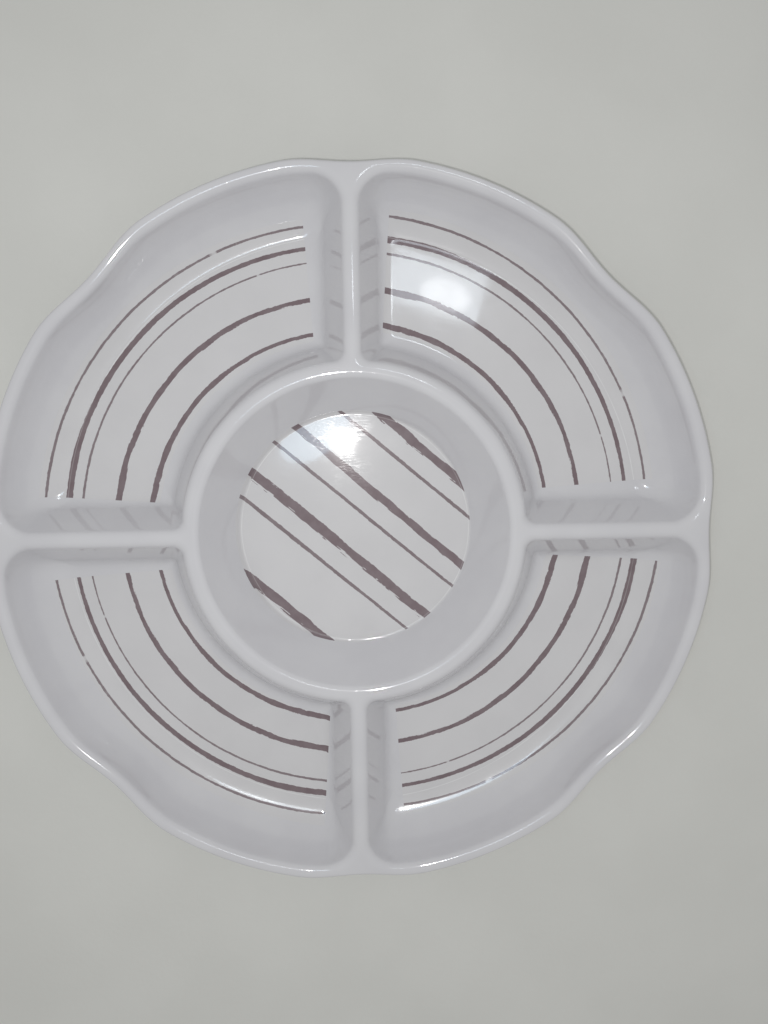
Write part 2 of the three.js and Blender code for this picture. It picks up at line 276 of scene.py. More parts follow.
def arc(centre_x, centre_y, radius, start, end, steps):
    """Points of an arc, both ends included."""
    angles = np.linspace(start, end, steps + 1)
    return np.column_stack([centre_x + radius * np.cos(angles), centre_y + radius * np.sin(angles)])


def swing(angle, middle, half_angle):
    """One in the middle of a dip, falling smoothly to nothing at its ends, in every quarter alike."""
    onward = (angle - middle + EIGHTH_TURN) % QUARTER_TURN
    share = np.abs(onward - EIGHTH_TURN) / half_angle
    return np.where(share < 1, np.cos(QUARTER_TURN * share) ** 2, 0)


def scallop(points, fade):
    """Draws points in at the rim's dips, which fade out towards the ring and towards the floor."""
    radius = np.hypot(points[:, 0], points[:, 1])
    angle = np.arctan2(points[:, 1], points[:, 0])
    reach = np.clip((radius - RING_OUTER) / (RIM_RADIUS - RING_OUTER), 0, 1)
    dip = QUARTER_DIP * swing(angle, EIGHTH_TURN, QUARTER_DIP_HALF_ANGLE)
    dip = dip + DIVIDER_DIP * swing(angle, 0, DIVIDER_DIP_HALF_ANGLE)
    return points * ((radius - dip * reach * fade) / radius)[:, None]


def half_outline(outer, inner, side, rim_corner, ring_corner):
    """Half a compartment's outline: from the diagonal at the rim, by the +X divider, to the ring."""
    rim_offset = side + rim_corner
    rim_along = math.sqrt((outer - rim_corner) ** 2 - rim_offset ** 2)
    rim_angle = math.atan2(rim_offset, rim_along)
    ring_offset = side + ring_corner
    ring_along = math.sqrt((inner + ring_corner) ** 2 - ring_offset ** 2)
    ring_angle = math.atan2(ring_offset, ring_along)
    turn_in = ring_angle - HALF_TURN
    return np.vstack([
        arc(0, 0, outer, EIGHTH_TURN, rim_angle, RIM_STEPS),
        arc(rim_along, rim_offset, rim_corner, rim_angle, -QUARTER_TURN, CORNER_STEPS)[1:],
        np.linspace((rim_along, side), (ring_along, side), SIDE_STEPS + 1)[1:],
        arc(ring_along, ring_offset, ring_corner, -QUARTER_TURN, turn_in, CORNER_STEPS)[1:],
        arc(0, 0, inner, ring_angle, EIGHTH_TURN, RING_STEPS)[1:],
    ])


def compartment_half(drop, rim_run, side_run, corner_growth=0.0, inset=0.0):
    """Half an outer compartment's outline at a drop below the plate's top."""
    fallen = drop / DEPTH
    rim_corner = RIM_CORNER[0] + (RIM_CORNER[1] + corner_growth - RIM_CORNER[0]) * fallen
    ring_corner = RING_CORNER[0] + (RING_CORNER[1] + corner_growth - RING_CORNER[0]) * fallen
    outline = half_outline(
        RIM_RADIUS - LIP_CREST - rim_run(drop) - inset,
        RING_OUTER + side_run(drop) + inset,
        DIVIDER_SIDE + side_run(drop) + inset,
        rim_corner,
        ring_corner,
    )
    return scallop(outline, 1 - fallen)


def closed_outline(half):
    """The half outline and its mirror image across the diagonal, as one loop."""
    return np.vstack([half, half[-2:0:-1, ::-1]])


def lip_points(angles, tilt):
    """Points round the scalloped lip, where tilt goes round its section from underneath to the top."""
    radius = RIM_RADIUS - LIP * (1 - math.cos(tilt))
    return scallop(np.column_stack([radius * np.cos(angles), radius * np.sin(angles)]), 1)


def web_edge(half):
    """The web's edge facing each point of a half outline: lip, divider's middle line, bowl's edge.

    Also the angles of its points on the lip and on the bowl's edge.
    """
    corner = RIM_STEPS
    side_start = corner + CORNER_STEPS
    side_end = side_start + SIDE_STEPS
    ring = side_end + CORNER_STEPS
    turn = CORNER_STEPS // 2
    angles = np.arctan2(half[:, 1], half[:, 0])
    lip_angles = np.concatenate([angles[:corner], np.linspace(angles[corner], 0, turn + 1)])
    lip = lip_points(lip_angles, QUARTER_TURN)
    along = np.concatenate([
        np.linspace(lip[-1, 0], half[side_start, 0], turn + 1)[1:],
        half[side_start + 1:side_end + 1, 0],
        np.linspace(half[side_end, 0], RING_INNER, turn + 1)[1:],
    ])
    bowl_angles = np.concatenate([np.linspace(0, angles[ring], turn + 1), angles[ring + 1:]])
    bowl = RING_INNER * np.column_stack([np.cos(bowl_angles), np.sin(bowl_angles)])
    edge = np.vstack([lip, np.column_stack([along, np.zeros_like(along)]), bowl[1:]])
    return edge, lip_angles, bowl_angles


def quarter_angles(angles):
    """Angles from a divider to the diagonal, carried on to the next divider."""
    rising = np.sort(angles)
    return np.concatenate([rising, QUARTER_TURN - rising[-2::-1]])


class MeshParts:
    """Rows of points and caps, gathered as one mesh."""

    def __init__(self):
        self.points = []
        self.faces = []

    def add_row(self, outline, height):
        """The numbers of an outline's points, all at one height."""
        start = len(self.points)
        self.points.extend((x, y, height) for x, y in outline)
        return list(range(start, len(self.points)))

    def add_strip(self, rows, closed):
        """Faces between rows of equal length, each an outline and its height."""
        numbered = [self.add_row(outline, height) for outline, height in rows]
        for lower, upper in zip(numbered, numbered[1:]):
            for step in range(len(lower) if closed else len(lower) - 1):
                onward = (step + 1) % len(lower)
                self.faces.append((lower[step], lower[onward], upper[onward], upper[step]))

    def add_cap(self, outline, height):
        """One level face inside an outline."""
        self.faces.append(self.add_row(outline, height))

    def mesh(self, name):
        """What was gathered, as a Blender mesh."""
        mesh = bpy.data.meshes.new(name)
        mesh.from_pydata(self.points, [], self.faces)
        return mesh


def add_compartment(parts, levels, walls, top, corner_growth):
    """One side of an outer compartment's shell, from its top edge to its floor."""
    rim_run = wall_run(*walls[0])
    side_run = wall_run(*walls[1])
    rows = []
    for drop in levels:
        half = compartment_half(drop, rim_run, side_run, corner_growth)
        rows.append((closed_outline(half), top - drop))
    floor = closed_outline(compartment_half(DEPTH, rim_run, side_run, corner_growth, FLOOR_INSET))
    rows.append((floor, top - DEPTH))
    parts.add_strip(rows, closed=True)
    parts.add_cap(floor, top - DEPTH)


def add_bowl(parts, levels, wall, top, angles):
    """One side of a quarter of the bowl's shell, from its top edge to its floor."""
    run = wall_run(*wall)
    ray = np.column_stack([np.cos(angles), np.sin(angles)])
    rows = [((RING_INNER - run(drop)) * ray, top - drop) for drop in levels]
    floor = (BOWL_FLOOR - FLOOR_INSET) * ray
    rows.append((floor, top - DEPTH))
    parts.add_strip(rows, closed=False)
    parts.add_cap(np.vstack([floor, [(0, 0)]]), top - DEPTH)


def body_quarter():
    """A quarter of the moulding between two dividers' middle lines, open where the next ones join."""
    parts = MeshParts()
    under = PLATE_HEIGHT - SHELL
    rim_out, side_out, bowl_out = map(outer_face, (RIM_WALL, SIDE_WALL, BOWL_WALL))
    add_compartment(
        parts, wall_levels(*SIDE_WALL, INSIDE_STEPS), (RIM_WALL, SIDE_WALL), PLATE_HEIGHT, 0.0,
    )
    add_compartment(parts, wall_levels(*side_out, OUTSIDE_STEPS), (rim_out, side_out), under, SHELL)
    half = compartment_half(0.0, wall_run(*RIM_WALL), wall_run(*SIDE_WALL))
    edge, lip_angles, bowl_angles = web_edge(half)
    for height in (PLATE_HEIGHT, under):
        parts.add_strip([(closed_outline(half), height), (closed_outline(edge), height)], closed=True)
    round_lip = []
    lip_round = quarter_angles(lip_angles)
    for tilt in np.linspace(-QUARTER_TURN, QUARTER_TURN, LIP_STEPS + 1):
        round_lip.append((lip_points(lip_round, tilt), PLATE_HEIGHT - LIP + LIP * math.sin(tilt)))
    parts.add_strip(round_lip, closed=False)
    bowl_round = quarter_angles(bowl_angles)
    add_bowl(parts, wall_levels(*BOWL_WALL, INSIDE_STEPS), BOWL_WALL, PLATE_HEIGHT, bowl_round)
    add_bowl(parts, wall_levels(*bowl_out, OUTSIDE_STEPS), bowl_out, under, bowl_round)
    return parts.mesh("body_quarter")


def add_node(tree, kind, inputs=None, **settings):
    """A node with its settings, and with values or links on the inputs that are named or numbered."""
    node = tree.nodes.new(kind)
    for name, value in settings.items():
        setattr(node, name, value)
    for key, value in (inputs or {}).items():
        if isinstance(value, bpy.types.NodeSocket):
            tree.links.new(value, node.inputs[key])
        else:
            node.inputs[key].default_value = value
    return node


def new_group(name, kind, inputs, outputs):
    """An empty node group with named sockets, and its input and output nodes."""
    tree = bpy.data.node_groups.new(name, kind)
    for direction, sockets in (("INPUT", inputs), ("OUTPUT", outputs)):
        for label, socket in sockets:
            tree.interface.new_socket(label, in_out=direction, socket_type=socket)
    return tree, tree.nodes.new("NodeGroupInput").outputs, tree.nodes.new("NodeGroupOutput").inputs


def quarters_tree():
    """Repeats a quarter round the plate's axis and welds the quarters into one shell."""
    tree, given, result = new_group(
        "quarters_round_the_axis", "GeometryNodeTree",
        [("Quarter", "NodeSocketGeometry"), ("Copies", "NodeSocketInt"),
         ("Weld Distance", "NodeSocketFloat"), ("Finish", "NodeSocketMaterial")],
        [("Shell", "NodeSocketGeometry")],
    )
    points = add_node(tree, "GeometryNodePoints", {"Count": given["Copies"]})
    index = add_node(tree, "GeometryNodeInputIndex")
    step = add_node(tree, "ShaderNodeMath", {0: 2 * HALF_TURN, 1: given["Copies"]}, operation="DIVIDE")
    turn = add_node(tree, "ShaderNodeMath", {0: index.outputs[0], 1: step.outputs[0]}, operation="MULTIPLY")
    euler = add_node(tree, "ShaderNodeCombineXYZ", {"Z": turn.outputs[0]})
    rotation = add_node(tree, "FunctionNodeEulerToRotation", {0: euler.outputs[0]})
    copies = add_node(tree, "GeometryNodeInstanceOnPoints", {
        "Points": points.outputs[0], "Instance": given["Quarter"], "Rotation": rotation.outputs[0],
    })
    real = add_node(tree, "GeometryNodeRealizeInstances", {"Geometry": copies.outputs[0]})
    weld = add_node(tree, "GeometryNodeMergeByDistance", {
        "Geometry": real.outputs[0], "Distance": given["Weld Distance"],
    })
    smooth = add_node(tree, "GeometryNodeSetShadeSmooth", {"Geometry": weld.outputs[0]})
    finish = add_node(tree, "GeometryNodeSetMaterial", {
        "Geometry": smooth.outputs[0], "Material": given["Finish"],
    })
    tree.links.new(finish.outputs[0], result["Shell"])
    return tree


def foil_tree():
    """Turns a flat sheet to its compartment and lays it on the moulding below as a thin closed foil."""
    tree, given, result = new_group(
        "foil_laid_on_the_floor", "GeometryNodeTree",
        [("Sheet", "NodeSocketGeometry"), ("Moulding", "NodeSocketObject"), ("Turn", "NodeSocketFloat"),
         ("Sink", "NodeSocketFloat"), ("Lift", "NodeSocketFloat"), ("Edge Angle", "NodeSocketFloat"),
         ("Weld Distance", "NodeSocketFloat"), ("Finish", "NodeSocketMaterial")],
        [("Foil", "NodeSocketGeometry")],
    )
    euler = add_node(tree, "ShaderNodeCombineXYZ", {"Z": given["Turn"]})
    rotation = add_node(tree, "FunctionNodeEulerToRotation", {0: euler.outputs[0]})
    turned = add_node(tree, "GeometryNodeTransform", {
        "Geometry": given["Sheet"], "Rotation": rotation.outputs[0],
    })
    moulding = add_node(tree, "GeometryNodeObjectInfo", {"Object": given["Moulding"]})
    landing = add_node(tree, "GeometryNodeRaycast", {
        "Target Geometry": moulding.outputs["Geometry"], "Ray Direction": (0, 0, -1),
        "Ray Length": RAY_LENGTH,
    })
    deeper = add_node(tree, "ShaderNodeMath", {0: given["Sink"], 1: -1.0}, operation="MULTIPLY")
    sink = add_node(tree, "ShaderNodeCombineXYZ", {"Z": deeper.outputs[0]})
    under = add_node(tree, "GeometryNodeSetPosition", {
        "Geometry": turned.outputs[0], "Position": landing.outputs["Hit Position"],
        "Offset": sink.outputs[0],
    })
    thickness = add_node(tree, "ShaderNodeMath", {0: given["Sink"], 1: given["Lift"]}, operation="ADD")
    above = add_node(tree, "GeometryNodeExtrudeMesh", {
        "Mesh": under.outputs[0], "Offset": (0, 0, 1), "Offset Scale": thickness.outputs[0],
        "Individual": False,
    }, mode="FACES")
    back = add_node(tree, "GeometryNodeFlipFaces", {"Mesh": under.outputs[0]})
    both = add_node(tree, "GeometryNodeJoinGeometry")
    tree.links.new(above.outputs["Mesh"], both.inputs[0])
    tree.links.new(back.outputs[0], both.inputs[0])
    weld = add_node(tree, "GeometryNodeMergeByDistance", {
        "Geometry": both.outputs[0], "Distance": given["Weld Distance"],
    })
    smooth = add_node(tree, "GeometryNodeSetShadeSmooth", {"Geometry": weld.outputs[0]})
    bend = add_node(tree, "GeometryNodeInputMeshEdgeAngle")
    edge = add_node(tree, "FunctionNodeCompare", {
        0: bend.outputs["Unsigned Angle"], 1: given["Edge Angle"],
    }, operation="GREATER_THAN")
    sharp = add_node(tree, "GeometryNodeSetShadeSmooth", {
        "Geometry": smooth.outputs[0], "Selection": edge.outputs[0], "Shade Smooth": False,
    }, domain="EDGE")
    real = add_node(tree, "GeometryNodeRealizeInstances", {"Geometry": sharp.outputs[0]})
    finish = add_node(tree, "GeometryNodeSetMaterial", {
        "Geometry": real.outputs[0], "Material": given["Finish"],
    })
    tree.links.new(finish.outputs[0], result["Foil"])
    return tree


def grown(name, mesh, tree, values):
    """The plain mesh that a node tree makes from a start mesh, as a new object."""
    start = bpy.data.objects.new(name + "_start", mesh)
    bpy.context.collection.objects.link(start)
    modifier = start.modifiers.new(tree.name, "NODES")
    modifier.node_group = tree
    sockets = {item.name: item.identifier for item in tree.interface.items_tree if item.in_out == "INPUT"}
    for label, value in values.items():
        modifier[sockets[label]] = value
    evaluated = start.evaluated_get(bpy.context.evaluated_depsgraph_get())
    result = bpy.data.meshes.new_from_object(evaluated)
    result.name = name
    start.modifiers.remove(modifier)
    bpy.data.objects.remove(start)
    bpy.data.meshes.remove(mesh)
    piece = bpy.data.objects.new(name, result)
    bpy.context.collection.objects.link(piece)
    return piece


def face_outwards(piece):
    """Turns all faces of a closed piece outwards."""
    shape = bmesh.new()
    shape.from_mesh(piece.data)
    bmesh.ops.recalc_face_normals(shape, faces=shape.faces)
    shape.to_mesh(piece.data)
    shape.free()


def eased(count):
    """Shares from 0 to 1, closer together towards both ends."""
    even = np.linspace(0, 1, count + 1)
    ends = (1 - np.cos(HALF_TURN * even)) / 2
    return EVEN_SHARE * even + (1 - EVEN_SHARE) * ends


def sheet_mesh(name, grid, faces, along, across):
    """A flat sheet above the plate, with the print's own coordinates as its UV map."""
    above = PLATE_HEIGHT + SHEET_ABOVE
    mesh = bpy.data.meshes.new(name)
    mesh.from_pydata([(x, y, above) for x, y in grid], [], faces)
    layer = mesh.uv_layers.new(name=PRINT_MAP)
    corners = np.empty(len(mesh.loops), dtype=np.int32)
    mesh.loops.foreach_get("vertex_index", corners)
    layer.data.foreach_set("uv", np.column_stack([along, across])[corners].astype(np.float32).ravel())
    return mesh


def outer_sheet(name, shift):
    """The flat quarter-ring sheet of an outer compartment, with sides that flare from the dividers."""
    inner = FLOOR_INNER - FOIL_INNER_OVERLAP
    outer = FLOOR_OUTER + FOIL_OUTER_OVERLAP
    side = FLOOR_SIDE - FOIL_SIDE_OVERLAP - inner * math.tan(FOIL_SIDE_FLARE)
    start = inner - FOIL_INNER_MARGIN
    radius = (start + (outer - start) * eased(FOIL_ROWS))[:, None]
    edge = FOIL_SIDE_FLARE + np.arcsin(side * math.cos(FOIL_SIDE_FLARE) / radius)
    angle = edge + (QUARTER_TURN - 2 * edge) * eased(FOIL_COLUMNS)[None, :]
    diagonal = math.sqrt(0.5)
    x = radius * np.cos(angle) + (FOIL_SHIFT_OUT - FOIL_SHIFT_AROUND) * diagonal
    y = radius * np.sin(angle) + (FOIL_SHIFT_OUT + FOIL_SHIFT_AROUND) * diagonal
    grid = np.column_stack([x.ravel(), y.ravel()])
    width = FOIL_COLUMNS + 1
    corners = [row * width + column for row in range(FOIL_ROWS) for column in range(FOIL_COLUMNS)]
    faces = [(low, low + width, low + width + 1, low + 1) for low in corners]
    from_centre = grid - np.array(ARC_PRINT_CENTRE) - np.array(shift)
    across = np.hypot(from_centre[:, 0], from_centre[:, 1])
    turn = np.arctan2(from_centre[:, 1], from_centre[:, 0]) - EIGHTH_TURN
    return sheet_mesh(name, grid, faces, turn * (inner + outer) / 2, across)


def centre_sheet(name):
    """The flat round sheet of the bowl, with rings that close up towards its edge."""
    radius = BOWL_FLOOR + CENTRE_FOIL_OVERLAP
    rings = radius * np.sin(np.linspace(0, QUARTER_TURN, DISC_RINGS + 1))[1:, None]
    angles = np.linspace(0, 2 * HALF_TURN, DISC_STEPS, endpoint=False)[None, :]
    centre = np.array([CENTRE_FOIL_SHIFT])
    round_points = np.column_stack([(rings * np.cos(angles)).ravel(), (rings * np.sin(angles)).ravel()])
    offset = np.vstack([[(0, 0)], round_points])
    faces = []
    for step in range(DISC_STEPS):
        onward = (step + 1) % DISC_STEPS
        faces.append((0, 1 + step, 1 + onward))
        for ring in range(DISC_RINGS - 1):
            low = 1 + ring * DISC_STEPS
            high = low + DISC_STEPS
            faces.append((low + step, high + step, high + onward, low + onward))
    cosine = math.cos(DISC_PRINT_SLOPE)
    sine = math.sin(DISC_PRINT_SLOPE)
    along = offset[:, 0] * cosine + offset[:, 1] * sine
    across = offset[:, 1] * cosine - offset[:, 0] * sine
    return sheet_mesh(name, centre + offset, faces, along, across)


def math_node(tree, operation, first, second=0.0, third=0.0):
    """The output of a maths node."""
    return add_node(tree, "ShaderNodeMath", {0: first, 1: second, 2: third}, operation=operation).outputs[0]


def noise_at(tree, vector, detail=2.0, scale=1.0):
    """Smooth noise between 0 and 1 at a point."""
    inputs = {"Vector": vector, "Scale": scale, "Detail": detail}
    return add_node(tree, "ShaderNodeTexNoise", inputs, noise_dimensions="3D").outputs[0]


def ramp(tree, value, low, high, start, end):
    """A smooth step of a value: start below low, end above high."""
    inputs = {"Value": value, "From Min": low, "From Max": high, "To Min": start, "To Max": end}
    return add_node(tree, "ShaderNodeMapRange", inputs, interpolation_type="SMOOTHSTEP").outputs[0]


def cloud(tree, vector, detail, scale, thin=0.0, thick=1.0):
    """Soft patches of noise between a thin and a thick value."""
    return ramp(tree, noise_at(tree, vector, detail, scale), *CLOUD_NOISE, thin, thick)


def brush_stripe_group():
    """One printed brush stroke: uneven sides, ragged edges, split-off slivers and a broken start."""
    tree, given, result = new_group(
        "dry_brush_stripe", "ShaderNodeTree",
        [("Along", "NodeSocketFloat"), ("Across", "NodeSocketFloat"), ("Centre", "NodeSocketFloat"),
         ("Slant", "NodeSocketFloat"), ("Start Half Width", "NodeSocketFloat"),
         ("End Half Width", "NodeSocketFloat"), ("Length", "NodeSocketFloat"),
         ("Slivers", "NodeSocketFloat"), ("Broken Length", "NodeSocketFloat"),
         ("Density", "NodeSocketFloat"), ("Seed", "NodeSocketFloat")],
        [("Ink", "NodeSocketFloat")],
    )
    uneven_pitch, uneven_share, uneven_noise = 34.0, 0.2, (0.40, 0.60)
    ragged_pitch, ragged_spacing, ragged_least, ragged_share = 600.0, 800.0, 0.5 * MM, 0.12
    sliver_pitch, sliver_spacing, upper_slivers, lean_reach = 110.0, 1150.0, 0.5, 0.2
    broken_pitch, broken_noise = 240.0, (0.61, 0.68)
    upper_seed, lower_seed, ragged_seed, sliver_seed, broken_seed = 3.7, 5.3, 7.9, 11.3, 13.1
    soft_edge = 0.08 * MM

    def noise(pitch, seed_step, detail=1.0, across_pitch=0.0):
        seed = math_node(tree, "MULTIPLY", given["Seed"], seed_step)
        x = math_node(tree, "MULTIPLY", given["Along"], pitch)
        y = math_node(tree, "MULTIPLY", given["Across"], across_pitch)
        point = add_node(tree, "ShaderNodeCombineXYZ", {"X": x, "Y": y, "Z": seed})
        return noise_at(tree, point.outputs[0], detail)

    def side_reach(seed_step):
        step = ramp(tree, noise(uneven_pitch, seed_step, 2.0), *uneven_noise, -0.5, 0.5)
        return math_node(tree, "MULTIPLY", width, math_node(tree, "MULTIPLY_ADD", step, uneven_share, 1.0))

    line = math_node(tree, "MULTIPLY_ADD", given["Along"], given["Slant"], given["Centre"])
    offset = math_node(tree, "SUBTRACT", given["Across"], line)
    share = math_node(tree, "ADD", math_node(tree, "DIVIDE", given["Along"], given["Length"]), 0.5)
    change = math_node(tree, "SUBTRACT", given["End Half Width"], given["Start Half Width"])
    width = math_node(tree, "MULTIPLY_ADD", change, share, given["Start Half Width"])
    other_side = math_node(tree, "MULTIPLY", offset, -1.0)
    above = math_node(tree, "SUBTRACT", offset, side_reach(upper_seed))
    below = math_node(tree, "SUBTRACT", other_side, side_reach(lower_seed))
    outside = math_node(tree, "MAXIMUM", above, below)
    ragged = math_node(tree, "SUBTRACT", noise(ragged_pitch, ragged_seed, 2.0, ragged_spacing), 0.5)
    ragged_size = math_node(tree, "MULTIPLY_ADD", width, ragged_share, ragged_least)
    outside = math_node(tree, "MULTIPLY_ADD", ragged, ragged_size, outside)
    sliver = math_node(tree, "SUBTRACT", noise(sliver_pitch, sliver_seed, 1.0, sliver_spacing), 0.5)
    aside = math_node(tree, "DIVIDE", offset, width)
    lean = ramp(tree, aside, -lean_reach, lean_reach, 1.0, upper_slivers)
    sliver_size = math_node(tree, "MULTIPLY", math_node(tree, "MULTIPLY", width, lean), given["Slivers"])
    outside = math_node(tree, "MULTIPLY_ADD", sliver, sliver_size, outside)
    stroke = ramp(tree, outside, -soft_edge, soft_edge, 1.0, 0.0)
    from_start = math_node(tree, "MULTIPLY", share, given["Length"])
    half_broken = math_node(tree, "MULTIPLY", given["Broken Length"], 0.5)
    dry = ramp(tree, from_start, half_broken, given["Broken Length"], 1.0, 0.0)
    gaps = ramp(tree, noise(broken_pitch, broken_seed), *broken_noise, 0.0, 1.0)
    broken = math_node(tree, "MULTIPLY", gaps, dry)
    unbroken = math_node(tree, "MULTIPLY", stroke, math_node(tree, "SUBTRACT", 1.0, broken))
    tree.links.new(math_node(tree, "MULTIPLY", unbroken, given["Density"]), result["Ink"])
    return tree


def worn_gloss_group():
    """A moulded gloss after some use: gently wavy, with fine hairline scratches in patches.

    Heights are shares of the bump's distance.
    """
    tree, given, result = new_group(
        "worn_gloss", "ShaderNodeTree",
        [("Position", "NodeSocketVector")],
        [("Height", "NodeSocketFloat"), ("Scratches", "NodeSocketFloat"), ("Mottle", "NodeSocketFloat")],
    )
    wave_pitch, wave_height = 26.0, 0.025
    scratch_height, along_pitch, across_pitch, hairline_width = 0.001, 130.0, 1000.0, 0.03
    patch_pitch, patch_noise = 55.0, (0.32, 0.62)
    mottle_pitch = 38.0
    deepest = None
    for turn in SCRATCH_TURNS:
        turned = add_node(tree, "ShaderNodeMapping", {
            "Vector": given["Position"], "Rotation": (turn, 2 * turn, turn),
            "Scale": (along_pitch, across_pitch, along_pitch),
        })
        contour = math_node(tree, "SUBTRACT", noise_at(tree, turned.outputs[0], 0.0), 0.5)
        hairline = ramp(tree, math_node(tree, "ABSOLUTE", contour), 0.0, hairline_width, 1.0, 0.0)
        deepest = hairline if deepest is None else math_node(tree, "MAXIMUM", deepest, hairline)
    patches = ramp(tree, noise_at(tree, given["Position"], 2.0, patch_pitch), *patch_noise, 0.0, 1.0)
    shown = math_node(tree, "MULTIPLY", deepest, patches)
    wave = math_node(tree, "MULTIPLY", noise_at(tree, given["Position"], 1.0, wave_pitch), wave_height)
    tree.links.new(math_node(tree, "MULTIPLY_ADD", shown, -scratch_height, wave), result["Height"])
    tree.links.new(shown, result["Scratches"])
    tree.links.new(cloud(tree, given["Position"], 3.0, mottle_pitch), result["Mottle"])
    return tree


def painted_crease_highlight_group():
    """Painted highlight: a fine pale line round the plate where a floor's edge turns up, patchy along its
    length.
    """
    tree, given, result = new_group(
        "painted_crease_highlight", "ShaderNodeTree",
        [("Position", "NodeSocketVector"), ("Radius", "NodeSocketFloat")],
        [("Mask", "NodeSocketFloat")],
    )
    core_width, edge_width = 0.05 * MM, 0.32 * MM
    highlight_patch_pitch, highlight_patch_shares = 110.0, (0.35, 0.75)
    flat = add_node(tree, "ShaderNodeVectorMath", {0: given["Position"], 1: (1, 1, 0)}, operation="MULTIPLY")
    reach = add_node(tree, "ShaderNodeVectorMath", {0: flat.outputs[0]}, operation="LENGTH")
    aside = math_node(tree, "SUBTRACT", reach.outputs["Value"], given["Radius"])
    # Painted highlight along the crease, stronger and weaker in patches
    line = ramp(tree, math_node(tree, "ABSOLUTE", aside), core_width, edge_width, 1.0, 0.0)
    highlight_share = cloud(tree, given["Position"], 2.0, highlight_patch_pitch, *highlight_patch_shares)
    tree.links.new(math_node(tree, "MULTIPLY", line, highlight_share), result["Mask"])
    return tree


def new_material(name):
    """A material with its Principled shader, and its tree."""
    material = bpy.data.materials.new(name)
    material.use_nodes = True
    tree = material.node_tree
    return material, tree, tree.nodes["Principled BSDF"]


def add_group(tree, group, inputs):
    """The outputs of a shader node group that is placed in a material with its own values."""
    return add_node(tree, "ShaderNodeGroup", inputs, node_tree=group).outputs


def mix_colour(tree, share, first, second):
    """A mix of two colours by a share that changes over the surface."""
    inputs = {MIX_SHARE: share, MIX_FIRST: first, MIX_SECOND: second}
    return add_node(tree, "ShaderNodeMix", inputs, data_type="RGBA").outputs[MIX_RESULT]


def melamine_gloss(tree, shader, worn_gloss, tints):
    """The hard gloss that body and foils share, hazy with wear.

    Returns the mottled white under it.
    """
    place = add_node(tree, "ShaderNodeTexCoord").outputs["Object"]
    worn = add_group(tree, worn_gloss, {"Position": place})
    roughness = ramp(tree, worn["Scratches"], 0.0, 1.0, *GLOSS_ROUGHNESS)
    tree.links.new(roughness, shader.inputs["Roughness"])
    bump = add_node(tree, "ShaderNodeBump", {
        "Strength": 1.0, "Distance": BUMP_DISTANCE, "Height": worn["Height"],
    })
    tree.links.new(bump.outputs[0], shader.inputs["Normal"])
    shader.inputs["IOR"].default_value = MELAMINE_IOR
    shader.inputs["Coat Weight"].default_value = HAZE_WEIGHT
    shader.inputs["Coat Roughness"].default_value = HAZE_ROUGHNESS
    return mix_colour(tree, worn["Mottle"], *tints)


def melamine_material(worn_gloss):
    """Plain glossy white melamine of the moulding."""
    material, tree, shader = new_material("melamine_white_gloss")
    white = melamine_gloss(tree, shader, worn_gloss, MELAMINE_TINTS)
    tree.links.new(white, shader.inputs["Base Color"])
    return material


def print_material(name, groups, stripes, length, slanted, crease):
    """White foil under the same gloss, printed with brush stripes in brown-mauve ink, and a painted
    highlight along the floor's crease.
    """
    worn_gloss, brush_stripe, painted_crease_highlight = groups
    material, tree, shader = new_material(name)
    white = melamine_gloss(tree, shader, worn_gloss, FOIL_TINTS)
    uv = add_node(tree, "ShaderNodeUVMap", uv_map=PRINT_MAP)
    split = add_node(tree, "ShaderNodeSeparateXYZ", {0: uv.outputs[0]})
    ink = None
    for number, (centre, start, end, slivers, broken, density) in enumerate(stripes):
        slant = 0.0
        if slanted:
            slant = THIN_SLANT if start < THIN_HALF_WIDTH else THICK_SLANT
        stroke = add_group(tree, brush_stripe, {
            "Along": split.outputs["X"], "Across": split.outputs["Y"], "Centre": centre, "Slant": slant,
            "Start Half Width": start, "End Half Width": end, "Length": length,
            "Slivers": slivers, "Broken Length": broken, "Density": density, "Seed": number + 1.0,
        })["Ink"]
        ink = stroke if ink is None else math_node(tree, "MAXIMUM", ink, stroke)
    stain = mix_colour(tree, cloud(tree, uv.outputs[0], 2.0, INK_CLOUD_PITCH), *INK_TINTS)
    printed = mix_colour(tree, ink, white, stain)
    place = add_node(tree, "ShaderNodeTexCoord").outputs["Object"]
    # Painted highlight: a pale line painted into the foil's colour along the floor's crease, fainter on ink
    line = add_group(tree, painted_crease_highlight, {"Position": place, "Radius": crease})["Mask"]
    highlight_share = math_node(tree, "MULTIPLY", line, ramp(tree, ink, 0.0, 1.0, 1.0, CREASE_HIGHLIGHT_ON_INK))
    tree.links.new(mix_colour(tree, highlight_share, printed, CREASE_HIGHLIGHT_TINT), shader.inputs["Base Color"])
    return material


def place_piece(piece, nodes):
    """Lets a finished piece ride on the body and stand for its CAD nodes."""
    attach(piece, "root")
    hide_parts(*nodes)


